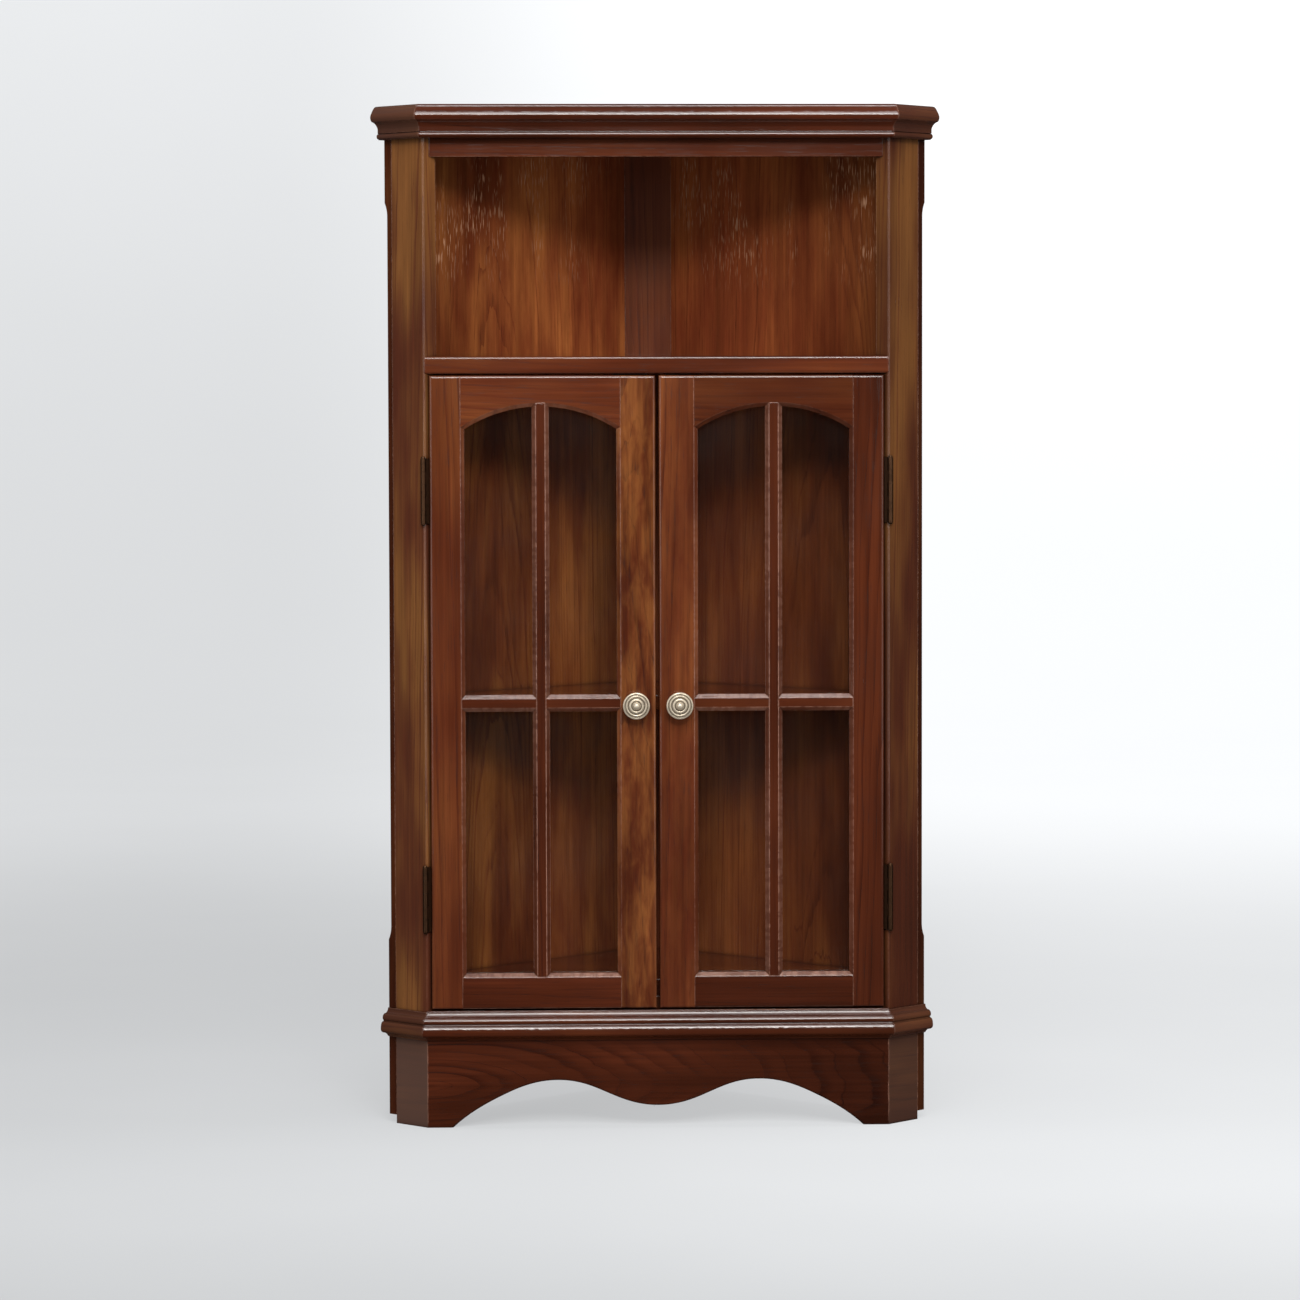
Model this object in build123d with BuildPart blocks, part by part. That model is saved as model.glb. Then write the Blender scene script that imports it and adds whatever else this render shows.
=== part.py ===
"""Free-standing corner china cabinet: open display niche above a pair of glazed doors.

Millimetres. X runs along the front, Y goes back into the corner of the room, Z is up.
The origin is on the floor, at the centre of the cabinet's bounding box.
In plan, a point is given by x and by its depth behind the plane of the door faces.
"""

import os
from math import sqrt

from build123d import *

# ---------------------------------------------------------------- driving dimensions
HEIGHT = 1200.0  # floor to top
WALL_SIDE = 450.0  # plan length along each room wall, to where the two walls meet
RETURN_DEPTH = 46.0  # how far back the canted returns reach
REAR_HALF = 33.6  # half width of the back of the narrow corner panel
WALL_T = 12.0  # wall panels and corner panel
POST_T = 20.0  # canted posts
WALL_LIFT = 10.0  # wall panels stop short of the floor
WALL_ARCH_TOP = 27.0  # shallow cut-out along the foot of a wall panel
WALL_ARCH_START = 80.0  # where that cut-out begins, along the inner face from its front end

TOP_T = 18.0
CORNICE_BOTTOM = 1161.0
CORNICE_OVERHANG = 22.5
FRIEZE_BOTTOM = 1140.0
FRIEZE_SETBACK = 6.5
FRIEZE_T = 20.0

NICHE_FLOOR = 907.0
SHELF_T = 20.0
INNER_SHELF_TOP = 507.0
INNER_SHELF_T = 18.0
INNER_SHELF_SETBACK = 54.0
CABINET_FLOOR = 172.0

SILL_TOP = 138.0
SILL_BOTTOM = 112.0
MOULDING_TOP = 137.0
MOULDING_BOTTOM = 103.0
MOULDING_OVERHANG = 14.0
PLINTH_T = 20.0

DOOR_T = 20.0
DOOR_BOTTOM = 140.0
DOOR_TOP = 885.0
DOOR_GAP = 1.0  # between the bevelled door edge and the post
MEETING_HALF = 1.9  # half the gap between the two doors
STOP_GAP = 0.6  # behind the closed doors
LOCK_STILE = 45.85
HINGE_EDGE = 225.7  # side of the panes beside the hinge stile, from the middle of the front
PANE_BOTTOM = 182.0
ARCH_CROWN = 848.5
ARCH_RISE = 26.5
BAR = 20.0  # glazing bars, with their bevels
CROSS_BAR_Z = 500.7
BEVEL = 4.5
DOOR_ROUND = 3.0
BAR_DEPTH = 12.0  # front face to glass
GLASS_T = 4.0
RABBET = 6.0  # how far the glass laps behind the frame

KNOB_X = 25.5
KNOB_Z = 498.0
KNOB_REACH = 24.0
KNOB_RADIUS = 15.8

HINGE_HEIGHTS = (270.0, 750.0)
HINGE_LENGTH = 76.0
BARREL_RADIUS = 3.0
PIN_RADIUS = 1.5
PIN_PLAY = 0.05
KNUCKLES = 5
KNUCKLE_GAP = 0.3
LEAF_T = 1.4
PLATE_RELIEF = 0.4  # between the barrel and the flat plate of a leaf
TAB_START = 0.45  # how far outside the pin the tab of a knuckle begins
RECESS_START = 1.0  # where the recesses for the leaves begin, from the pin axis
PIN_TIP = 2.4
PIN_TIP_STEP = 0.5  # tips are this much slimmer than the barrel
PIN_TIP_ROUND = 1.6
FRAME_LEAF_REACH = 19.0
DOOR_LEAF_REACH = 26.0
BARREL_STANDOFF = 2.8  # pin axis to the canted face of the post

# ---------------------------------------------------------------- derived plan values
ROOT2 = sqrt(2)
HALF_WIDTH = WALL_SIDE / ROOT2
FRONT_HALF = HALF_WIDTH - RETURN_DEPTH
OUTER_SUM = HALF_WIDTH + RETURN_DEPTH  # x + depth on the face against the room wall
INNER_SUM = OUTER_SUM - WALL_T * ROOT2  # x + depth on the inner face of the wall panel
BODY_DEPTH = OUTER_SUM - REAR_HALF
INNER_DEPTH = BODY_DEPTH - WALL_T
INNER_REAR_HALF = INNER_SUM - INNER_DEPTH
FRONT_Y = -(BODY_DEPTH - KNOB_REACH) / 2

POST_REAR = ((INNER_SUM + FRONT_HALF) / 2, (INNER_SUM - FRONT_HALF) / 2)
POST_STEP = POST_T / ROOT2  # plan offset, along x and depth, through the post
TOP_UNDERSIDE = HEIGHT - TOP_T

FRONT_PLANE = Plane.XZ.offset(-FRONT_Y)


def plan(x, depth):
    """Plan point from x and the depth behind the door faces."""
    return (x, FRONT_Y + depth)


def both_sides(right_points):
    """Closed plan outline from its right half, listed from front to back."""
    right = [plan(x, depth) for x, depth in right_points]
    left = [plan(-x, depth) for x, depth in reversed(right_points)]
    return right + left


def board(outline, bottom, top):
    """Flat or upright board with a plan outline."""
    with BuildPart() as piece:
        with BuildSketch(Plane.XY.offset(bottom)):
            Polygon(*outline)
        extrude(amount=top - bottom)
    return piece.part


def mirrored(part):
    """The left-hand twin of a right-hand piece."""
    with BuildPart() as twin:
        mirror(part, about=Plane.YZ)
    return twin.part


def hand_in(part, name):
    """Label a finished piece and write it."""
    part.label = name
    export_step(part, f"parts/{name}.step")


os.makedirs("parts", exist_ok=True)

# ---------------------------------------------------------------- hinge frame of reference
# The hinge leaves lie in the 45 degree gap between post and door. In this plane, local x runs
# back along the gap from the pin axis and local y points from the post to the door.
PIN_X = FRONT_HALF + (BARREL_STANDOFF - DOOR_GAP / 2) / ROOT2
PIN_DEPTH = -(BARREL_STANDOFF + DOOR_GAP / 2) / ROOT2
PIN_AT = plan(PIN_X, PIN_DEPTH)
GAP_DIRECTION = Vector(-1, 1, 0).normalized()
TOWARDS_POST = Vector(1, 1, 0).normalized()
HINGE_PLANE = Plane(origin=(*PIN_AT, 0), x_dir=GAP_DIRECTION, z_dir=(0, 0, 1))
SCREW_SHANK = 1.5
SCREW_HEAD = 2.8
FRAME_SCREW_REACH = 11.5
DOOR_SCREW_REACH = 19.0
FRAME_SCREW_LENGTH = 13.0
DOOR_SCREW_LENGTH = 10.0
SCREW_SPREAD = 27.0


def hinge_box(near, far, side_low, side_high, bottom, top):
    """Upright block in the hinge plane."""
    with BuildPart() as block:
        with BuildSketch(HINGE_PLANE.offset(bottom)):
            with Locations(((near + far) / 2, (side_low + side_high) / 2)):
                Rectangle(far - near, side_high - side_low)
        extrude(amount=top - bottom)
    return block.part


def leaf_sides(is_door):
    """The two faces of a leaf, measured across the gap."""
    inner = DOOR_GAP / 2
    outer = DOOR_GAP / 2 + LEAF_T
    return (inner, outer) if is_door else (-outer, -inner)


def knuckle_spans(is_door):
    """Heights of the knuckles of one leaf, from the bottom of the hinge."""
    pitch = HINGE_LENGTH / KNUCKLES
    first = 1 if is_door else 0
    spans = []
    for index in range(first, KNUCKLES, 2):
        spans.append((index * pitch + KNUCKLE_GAP / 2, (index + 1) * pitch - KNUCKLE_GAP / 2))
    return spans


def countersunk_screw(plane, length):
    """Flat-head wood screw, its head flush with the plane and its shank along the normal."""
    with BuildPart() as screw:
        with BuildSketch(plane):
            Circle(SCREW_SHANK)
        extrude(amount=length)
        with BuildSketch(plane) as head:
            Circle(SCREW_HEAD)
        with BuildSketch(plane.offset(LEAF_T)) as neck:
            Circle(SCREW_SHANK)
        loft([head.sketch, neck.sketch])
    return screw.part


def leaf_screws(is_door):
    """Three screws through each leaf of one door's two hinges."""
    reach = DOOR_SCREW_REACH if is_door else FRAME_SCREW_REACH
    length = DOOR_SCREW_LENGTH if is_door else FRAME_SCREW_LENGTH
    side = DOOR_GAP / 2 if is_door else -DOOR_GAP / 2
    into_wood = -TOWARDS_POST if is_door else TOWARDS_POST
    with BuildPart() as screws:
        for middle in HINGE_HEIGHTS:
            for rise in (-SCREW_SPREAD, 0, SCREW_SPREAD):
                head_at = HINGE_PLANE.from_local_coords(Vector(reach, side, middle + rise))
                add(countersunk_screw(Plane(origin=head_at, z_dir=into_wood), length))
    return screws.part


def hinge_leaves(is_door, screws):
    """The upper and lower leaves of one side: plate, tabs and rolled knuckles."""
    reach = DOOR_LEAF_REACH if is_door else FRAME_LEAF_REACH
    low, high = leaf_sides(is_door)
    bore = PIN_RADIUS + PIN_PLAY if is_door else PIN_RADIUS
    plate_near = BARREL_RADIUS + PLATE_RELIEF
    tab_near = PIN_RADIUS + TAB_START
    with BuildPart() as leaves:
        for middle in HINGE_HEIGHTS:
            bottom = middle - HINGE_LENGTH / 2
            add(hinge_box(plate_near, reach, low, high, bottom, bottom + HINGE_LENGTH))
            for start, end in knuckle_spans(is_door):
                add(hinge_box(tab_near, plate_near, low, high, bottom + start, bottom + end))
                with BuildSketch(HINGE_PLANE.offset(bottom + start)):
                    Circle(BARREL_RADIUS)
                    Circle(bore, mode=Mode.SUBTRACT)
                extrude(amount=end - start)
        add(screws, mode=Mode.SUBTRACT)
    return leaves.part


def leaf_recesses(is_door):
    """Wood cut away so that the leaves lie flush."""
    reach = DOOR_LEAF_REACH if is_door else FRAME_LEAF_REACH
    low, high = leaf_sides(is_door)
    with BuildPart() as recesses:
        for middle in HINGE_HEIGHTS:
            bottom = middle - HINGE_LENGTH / 2
            add(hinge_box(RECESS_START, reach, low, high, bottom, bottom + HINGE_LENGTH))
    return recesses.part


frame_screws = leaf_screws(is_door=False)
door_screws = leaf_screws(is_door=True)
frame_leaves = hinge_leaves(False, frame_screws)
door_leaves = hinge_leaves(True, door_screws)

with BuildPart() as hinge_pins:
    for middle in HINGE_HEIGHTS:
        with BuildSketch(HINGE_PLANE.offset(middle - HINGE_LENGTH / 2)):
            Circle(PIN_RADIUS)
        extrude(amount=HINGE_LENGTH)
        for end, direction in ((middle + HINGE_LENGTH / 2, 1), (middle - HINGE_LENGTH / 2, -1)):
            with BuildSketch(HINGE_PLANE.offset(end)):
                Circle(BARREL_RADIUS - PIN_TIP_STEP)
            extrude(amount=PIN_TIP * direction)
    circles = hinge_pins.edges().filter_by(GeomType.CIRCLE)
    tip_heights = [m + s * (HINGE_LENGTH / 2 + PIN_TIP) for m in HINGE_HEIGHTS for s in (-1, 1)]
    tips = [e for e in circles if any(abs(e.center().Z - z) < 0.01 for z in tip_heights)]
    fillet(tips, PIN_TIP_ROUND)

hand_in(hinge_pins.part, "right_hinge_pins")
hand_in(mirrored(hinge_pins.part), "left_hinge_pins")
hand_in(frame_leaves, "right_frame_leaves")
hand_in(mirrored(frame_leaves), "left_frame_leaves")
hand_in(door_leaves, "right_door_leaves")
hand_in(mirrored(door_leaves), "left_door_leaves")
hand_in(door_screws, "right_door_leaf_screws")
hand_in(mirrored(door_screws), "left_door_leaf_screws")

with BuildPart() as frame_leaf_screws:
    add(frame_screws)
    mirror(frame_screws, about=Plane.YZ)
hand_in(frame_leaf_screws.part, "frame_leaf_screws")

# ---------------------------------------------------------------- posts and wall panels
POST_ARRIS_ROUND = 2.0
POST_OUTLINE = [
    (FRONT_HALF, 0),
    POST_REAR,
    (POST_REAR[0] - POST_STEP, POST_REAR[1] + POST_STEP),
    (FRONT_HALF - POST_STEP, POST_STEP),
]

with BuildPart() as right_post:
    with BuildSketch(Plane.XY.offset(SILL_BOTTOM)):
        Polygon(*[plan(x, depth) for x, depth in POST_OUTLINE])
    extrude(amount=TOP_UNDERSIDE - SILL_BOTTOM)
    front_arris = right_post.edges().filter_by(Axis.Z).sort_by(Axis.Y)[0]
    fillet(front_arris, POST_ARRIS_ROUND)
    add(leaf_recesses(False), mode=Mode.SUBTRACT)
    add(frame_screws, mode=Mode.SUBTRACT)
hand_in(right_post.part, "right_post")
hand_in(mirrored(right_post.part), "left_post")

PIN_HOLE_DEPTH = 8.0
SHELF_PIN_RADIUS = 2.5
SHELF_PIN_REACH = 10.0
SHELF_PIN_PLACES = (90.0, 310.0)  # along the inner face, from its front end
SHELF_PIN_Z = INNER_SHELF_TOP - INNER_SHELF_T - SHELF_PIN_RADIUS

with BuildPart() as shelf_pins:
    for place in SHELF_PIN_PLACES:
        x = POST_REAR[0] - place / ROOT2
        depth = POST_REAR[1] + place / ROOT2
        face_point = Plane(origin=(*plan(x, depth), SHELF_PIN_Z), z_dir=TOWARDS_POST)
        with BuildSketch(face_point.offset(-SHELF_PIN_REACH)):
            Circle(SHELF_PIN_RADIUS)
        extrude(amount=SHELF_PIN_REACH + PIN_HOLE_DEPTH)
    right_shelf_pins = shelf_pins.part
    mirror(right_shelf_pins, about=Plane.YZ)
hand_in(shelf_pins.part, "shelf_pins")

STOP_CHAMFER = 3.0  # how far the outer edge of the wall panel is cut back
STOP_CHAMFER_ENDS = (218.0, 1088.0)
RUN_OUT = 16.0
WALL_ARCH_ROUND = 12.0
CUT_MARGIN = 5.0

with BuildPart() as right_wall_panel:
    with BuildSketch(Plane.XY.offset(WALL_LIFT)):
        outline = [
            POST_REAR,
            (HALF_WIDTH, RETURN_DEPTH),
            (REAR_HALF, BODY_DEPTH),
            (INNER_REAR_HALF, INNER_DEPTH),
        ]
        Polygon(*[plan(x, depth) for x, depth in outline])
    extrude(amount=TOP_UNDERSIDE - WALL_LIFT)
    # stopped chamfer on the outer front edge, running out in a curve at both ends
    start, end = STOP_CHAMFER_ENDS
    with BuildSketch(FRONT_PLANE.offset(-RETURN_DEPTH - WALL_T)):
        with BuildLine():
            edge = HALF_WIDTH
            cut = HALF_WIDTH - STOP_CHAMFER
            beyond = HALF_WIDTH + CUT_MARGIN
            TangentArc((cut, start + RUN_OUT), (edge, start), tangent=(0, -1))
            Line((cut, start + RUN_OUT), (cut, end - RUN_OUT))
            TangentArc((cut, end - RUN_OUT), (edge, end), tangent=(0, 1))
            Polyline((edge, end), (beyond, end), (beyond, start), (edge, start))
        make_face()
    extrude(amount=3 * WALL_T, mode=Mode.SUBTRACT)
    # shallow cut-out from behind the front foot to the corner panel, rounded at its front end
    arch_place = plan(
        POST_REAR[0] - WALL_ARCH_START / ROOT2, POST_REAR[1] + WALL_ARCH_START / ROOT2
    )
    inner_face = Plane(origin=(*arch_place, 0), x_dir=(-1, 1, 0), z_dir=(1, 1, 0))
    with BuildSketch(inner_face.offset(-CUT_MARGIN)):
        with BuildLine():
            shoulder = (0, WALL_ARCH_TOP - WALL_ARCH_ROUND)
            rounded = (WALL_ARCH_ROUND, WALL_ARCH_TOP)
            TangentArc(shoulder, rounded, tangent=(0, 1))
            Polyline(rounded, (WALL_SIDE, WALL_ARCH_TOP), (WALL_SIDE, 0), (0, 0), shoulder)
        make_face()
    extrude(amount=WALL_T + 2 * CUT_MARGIN, mode=Mode.SUBTRACT)
    add(right_shelf_pins, mode=Mode.SUBTRACT)
hand_in(right_wall_panel.part, "right_wall_panel")
hand_in(mirrored(right_wall_panel.part), "left_wall_panel")

corner_outline = both_sides([(INNER_REAR_HALF, INNER_DEPTH), (REAR_HALF, BODY_DEPTH)])
hand_in(board(corner_outline, 0, TOP_UNDERSIDE), "corner_panel")

# ---------------------------------------------------------------- magnetic catches
# A magnet housing under the fixed shelf and a steel plate on the back of each door.
CATCH_X = 31.0
CATCH_WIDTH = 40.0
CATCH_DEPTH = 13.0
CATCH_HEIGHT = 12.0
HOUSING_CORNER = 2.0
PLATE_WIDTH = 18.0
PLATE_HEIGHT = 8.0
PLATE_T = 1.2
PLATE_CORNER = 1.5
CATCH_AIR = 0.4  # between the plate on the closed door and the housing
CATCH_FACE = DOOR_T + PLATE_T + CATCH_AIR
CATCH_MIDDLE = CATCH_FACE + CATCH_DEPTH / 2
CATCH_SCREW_SPREAD = 14.0
CATCH_SCREW_BITE = 9.0  # into the shelf above
SHELF_UNDERSIDE = NICHE_FLOOR - SHELF_T

with BuildPart() as catch_plate:
    with BuildSketch(FRONT_PLANE.offset(-DOOR_T)):
        with Locations((CATCH_X, SHELF_UNDERSIDE - CATCH_HEIGHT / 2)):
            RectangleRounded(PLATE_WIDTH, PLATE_HEIGHT, PLATE_CORNER)
    extrude(amount=-PLATE_T)

with BuildPart() as catch_screws:
    for x in (CATCH_X - CATCH_SCREW_SPREAD, CATCH_X + CATCH_SCREW_SPREAD):
        head_at = (*plan(x, CATCH_MIDDLE), SHELF_UNDERSIDE - CATCH_HEIGHT)
        add(countersunk_screw(Plane(origin=head_at), CATCH_HEIGHT + CATCH_SCREW_BITE))
    right_catch_screws = catch_screws.part
    mirror(right_catch_screws, about=Plane.YZ)

with BuildPart() as catch_housings:
    with BuildSketch(Plane.XY.offset(SHELF_UNDERSIDE)):
        with Locations(plan(CATCH_X, CATCH_MIDDLE)):
            RectangleRounded(CATCH_WIDTH, CATCH_DEPTH, HOUSING_CORNER)
    extrude(amount=-CATCH_HEIGHT)
    add(right_catch_screws, mode=Mode.SUBTRACT)
    right_housing = catch_housings.part
    mirror(right_housing, about=Plane.YZ)
hand_in(catch_screws.part, "catch_screws")
hand_in(catch_housings.part, "catch_housings")

# ---------------------------------------------------------------- horizontal boards
SHELF_ROUND = 2.5
INNER_SHELF_ROUND = 2.0

top_outline = both_sides([(FRONT_HALF, 0), (HALF_WIDTH, RETURN_DEPTH), (REAR_HALF, BODY_DEPTH)])
hand_in(board(top_outline, TOP_UNDERSIDE, HEIGHT), "top_board")

BETWEEN_POSTS_BACK = [
    (POST_REAR[0] - POST_STEP, POST_REAR[1] + POST_STEP),
    (INNER_REAR_HALF, INNER_DEPTH),
]

with BuildPart() as fixed_shelf:
    with BuildSketch(Plane.XY.offset(SHELF_UNDERSIDE)):
        front = [(FRONT_HALF, 0), (FRONT_HALF - POST_STEP, POST_STEP)]
        Polygon(*both_sides(front + BETWEEN_POSTS_BACK))
    extrude(amount=SHELF_T)
    fillet(fixed_shelf.edges().filter_by(Axis.X).group_by(Axis.Y)[0], SHELF_ROUND)
    add(catch_screws.part, mode=Mode.SUBTRACT)
hand_in(fixed_shelf.part, "fixed_shelf")

behind_doors = DOOR_T + STOP_GAP
post_inner_x = FRONT_HALF - POST_STEP + (behind_doors - POST_STEP)
floor_outline = both_sides([(post_inner_x, behind_doors)] + BETWEEN_POSTS_BACK)
hand_in(board(floor_outline, CABINET_FLOOR - SHELF_T, CABINET_FLOOR), "bottom_panel")

SHELF_CLEARANCE = 1.0
shelf_sum = INNER_SUM - SHELF_CLEARANCE * ROOT2
shelf_rear = INNER_DEPTH - SHELF_CLEARANCE
with BuildPart() as inner_shelf:
    with BuildSketch(Plane.XY.offset(INNER_SHELF_TOP - INNER_SHELF_T)):
        front_corner = (shelf_sum - INNER_SHELF_SETBACK, INNER_SHELF_SETBACK)
        Polygon(*both_sides([front_corner, (shelf_sum - shelf_rear, shelf_rear)]))
    extrude(amount=INNER_SHELF_T)
    fillet(inner_shelf.edges().filter_by(Axis.X).group_by(Axis.Y)[0], INNER_SHELF_ROUND)
hand_in(inner_shelf.part, "inner_shelf")

# ---------------------------------------------------------------- rails between the posts
frieze_back = FRIEZE_SETBACK + FRIEZE_T
frieze_outline = both_sides(
    [
        (FRONT_HALF - FRIEZE_SETBACK, FRIEZE_SETBACK),
        (FRONT_HALF - POST_STEP, POST_STEP),
        (FRONT_HALF - 2 * POST_STEP + frieze_back, frieze_back),
    ]
)
hand_in(board(frieze_outline, FRIEZE_BOTTOM, TOP_UNDERSIDE), "frieze_rail")

sill_outline = both_sides(
    [(FRONT_HALF, 0), (FRONT_HALF - POST_STEP, POST_STEP), (post_inner_x, behind_doors)]
)
hand_in(board(sill_outline, SILL_BOTTOM, SILL_TOP), "sill_rail")

CLEAT_T = 22.0
cleat_back = behind_doors + CLEAT_T
cleat_outline = both_sides(
    [(post_inner_x, behind_doors), (post_inner_x + CLEAT_T, cleat_back)]
)
hand_in(board(cleat_outline, SILL_BOTTOM, CABINET_FLOOR - SHELF_T), "floor_cleat")

# ---------------------------------------------------------------- mouldings
# The mouldings run along the front and the two canted returns and meet in mitres at the
# front arrises. Their profiles are drawn with x as the projection and y as the height.
MITRE_DIRECTION = Vector(1 + 1 / ROOT2, 1 / ROOT2, 0).normalized()
MITRE = Plane(origin=(*plan(FRONT_HALF, 0), 0), z_dir=MITRE_DIRECTION)
LEFT_MITRE = Plane(
    origin=(*plan(-FRONT_HALF, 0), 0),
    z_dir=(-MITRE_DIRECTION.X, MITRE_DIRECTION.Y, 0),
)
WALL_FACE = Plane(origin=(*plan(HALF_WIDTH, RETURN_DEPTH), 0), z_dir=TOWARDS_POST)
RETURN_LENGTH = RETURN_DEPTH * ROOT2
ALONG_RETURN = TOWARDS_POST
RETURN_OUTWARD = Vector(1, -1, 0).normalized()


def cornice_profile():
    """Bead, fillet, cove and a full rounded nose."""
    bottom = CORNICE_BOTTOM
    nose = CORNICE_OVERHANG
    with BuildSketch() as profile:
        with BuildLine():
            Polyline((10.6, bottom + 12.5), (10.6, bottom + 7.6), (9.4, bottom + 7.0))
            ThreePointArc((9.4, bottom + 7.0), (12.4, bottom + 3.9), (9.2, bottom + 0.8))
            Polyline((9.2, bottom + 0.8), (9.2, bottom), (0, bottom), (0, HEIGHT))
            Line((0, HEIGHT), (10.5, HEIGHT))
            Spline(
                (10.5, HEIGHT),
                (nose - 2.6, HEIGHT - 7.0),
                (nose, bottom + 25.0),
                (nose - 1.8, bottom + 21.0),
                tangents=[(1, 0), (-1, -1.2)],
            )
            Line((nose - 1.8, bottom + 21.0), (nose - 3.2, bottom + 20.4))
            ThreePointArc(
                (nose - 3.2, bottom + 20.4),
                (nose - 8.6, bottom + 17.6),
                (10.6, bottom + 12.5),
            )
        make_face()
    return profile.sketch


def base_profile():
    """Cove, bead and quirk above a rounded nose with a hollow underside."""
    bottom = MOULDING_BOTTOM
    top = MOULDING_TOP
    nose = MOULDING_OVERHANG
    with BuildSketch() as profile:
        with BuildLine():
            Polyline((0, bottom), (0, top), (2.0, top))
            ThreePointArc((2.0, top), (3.0, top - 3.6), (5.6, top - 6.0))
            Line((5.6, top - 6.0), (6.4, top - 6.0))
            ThreePointArc((6.4, top - 6.0), (10.2, top - 8.6), (10.4, top - 13.0))
            Line((10.4, top - 13.0), (9.2, top - 14.4))
            Line((9.2, top - 14.4), (9.8, top - 15.4))
            Spline(
                (9.8, top - 15.4),
                (nose - 0.6, top - 19.2),
                (nose, top - 23.5),
                (nose - 3.4, bottom + 5.2),
                tangents=[(1, -0.1), (-1, -0.5)],
            )
            ThreePointArc((nose - 3.4, bottom + 5.2), (5.2, bottom + 3.6), (2.0, bottom))
            Line((2.0, bottom), (0, bottom))
        make_face()
    return profile.sketch


def front_run(profile):
    """Moulding along the front, mitred at both ends."""
    section = Plane(origin=(0, FRONT_Y, 0), x_dir=(0, -1, 0), z_dir=(-1, 0, 0))
    with BuildPart() as run:
        with BuildSketch(section):
            add(profile)
        extrude(amount=HALF_WIDTH + CORNICE_OVERHANG, both=True)
        split(bisect_by=MITRE, keep=Keep.BOTTOM)
        split(bisect_by=LEFT_MITRE, keep=Keep.BOTTOM)
    return run.part


def return_run(profile):
    """Moulding along the right canted return, from the mitre to the room wall."""
    section = Plane(
        origin=(*plan(FRONT_HALF, 0), 0), x_dir=RETURN_OUTWARD, z_dir=-ALONG_RETURN
    ).offset(CORNICE_OVERHANG)
    with BuildPart() as run:
        with BuildSketch(section):
            add(profile)
        extrude(amount=-(RETURN_LENGTH + 2 * CORNICE_OVERHANG))
        split(bisect_by=MITRE, keep=Keep.TOP)
        split(bisect_by=WALL_FACE, keep=Keep.BOTTOM)
    return run.part


with BuildPart() as cornice_front:
    add(front_run(cornice_profile()))
    # backing strip that fills the step down to the frieze
    with BuildSketch(Plane.XY.offset(CORNICE_BOTTOM)):
        Polygon(*both_sides([(FRONT_HALF, 0), (FRONT_HALF - FRIEZE_SETBACK, FRIEZE_SETBACK)]))
    extrude(amount=TOP_UNDERSIDE - CORNICE_BOTTOM)
hand_in(cornice_front.part, "cornice_front")
cornice_return = return_run(cornice_profile())
hand_in(cornice_return, "cornice_right")
hand_in(mirrored(cornice_return), "cornice_left")

hand_in(front_run(base_profile()), "base_moulding_front")
base_return = return_run(base_profile())
hand_in(base_return, "base_moulding_right")
hand_in(mirrored(base_return), "base_moulding_left")

# ---------------------------------------------------------------- plinth
TOE_X = 242.0  # inner end of the foot on the floor
FLANK = (184.0, 37.6)
CREST = (118.7, 55.2)
DIP = (59.0, 39.5)
DROP_Z = 24.7  # bottom of the drop in the middle
APRON_ROUND = 2.5

with BuildPart() as front_apron:
    with BuildSketch(FRONT_PLANE):
        with BuildLine():
            Polyline((TOE_X, 0), (HALF_WIDTH, 0), (HALF_WIDTH, SILL_BOTTOM))
            Line((HALF_WIDTH, SILL_BOTTOM), (-HALF_WIDTH, SILL_BOTTOM))
            Polyline((-HALF_WIDTH, SILL_BOTTOM), (-HALF_WIDTH, 0), (-TOE_X, 0))
            for side in (-1, 1):
                Spline(
                    (side * TOE_X, 0),
                    (side * FLANK[0], FLANK[1]),
                    (side * CREST[0], CREST[1]),
                    tangents=[(-side * 0.8, 0.75), (-side, 0)],
                )
                Spline(
                    (side * CREST[0], CREST[1]),
                    (side * DIP[0], DIP[1]),
                    (0, DROP_Z),
                    tangents=[(-side, 0), (-side, 0)],
                )
        make_face()
    extrude(amount=-PLINTH_T)
    split(bisect_by=MITRE, keep=Keep.BOTTOM)
    split(bisect_by=LEFT_MITRE, keep=Keep.BOTTOM)
    scalloped = front_apron.edges().filter_by(GeomType.BSPLINE).group_by(Axis.Y)[0]
    fillet(scalloped, APRON_ROUND)
hand_in(front_apron.part, "front_apron")

with BuildPart() as right_foot_board:
    with BuildSketch(Plane.XY):
        Polygon(
            plan(FRONT_HALF - PLINTH_T, -PLINTH_T),
            plan(*POST_REAR),
            plan(POST_REAR[0] - POST_STEP, POST_REAR[1] + POST_STEP),
            plan(FRONT_HALF - PLINTH_T - POST_STEP, -PLINTH_T + POST_STEP),
        )
    extrude(amount=SILL_BOTTOM)
    split(bisect_by=MITRE, keep=Keep.TOP)
hand_in(right_foot_board.part, "right_foot_board")
hand_in(mirrored(right_foot_board.part), "left_foot_board")

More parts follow.
